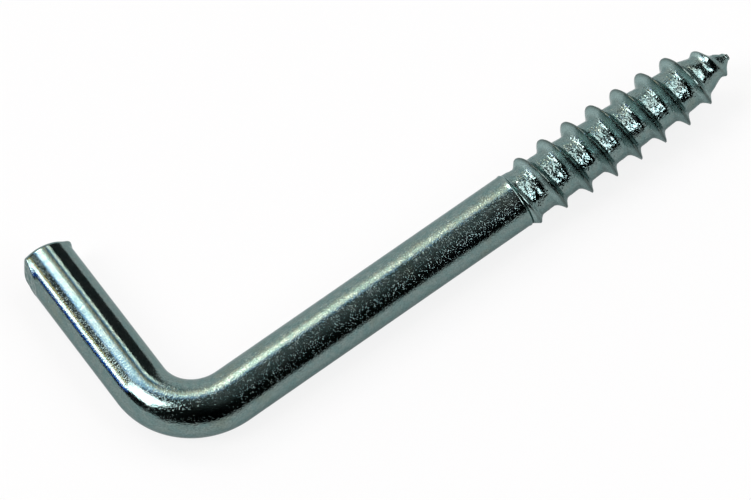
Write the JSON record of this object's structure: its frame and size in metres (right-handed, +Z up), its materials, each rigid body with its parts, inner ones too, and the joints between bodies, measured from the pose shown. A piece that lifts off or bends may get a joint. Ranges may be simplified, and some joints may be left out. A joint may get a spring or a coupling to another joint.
{
  "type": "screw-in hinge pin",
  "caption": "Steel wire bent square: a plain short leg is the pin for a hinge eye, and the long leg ends in a wood-screw thread with a gimlet point.",
  "frame": {"origin": "on the floor, under the middle of the box around the part as it lies at rest", "axes": "+Z up; the pin leg lies along +Y and points to +Y; the threaded leg runs to +X, about 1 degree above the floor, because its thread is wider than the wire"},
  "size_m": [0.06, 0.0246, 0.0065],
  "materials": {
    "zinc_steel": "bright zinc-plated steel, grey with a faint blue-green cast"
  },
  "bodies": {
    "root": {"hinge_pin": "zinc_steel"}
  },
  "joints": []
}
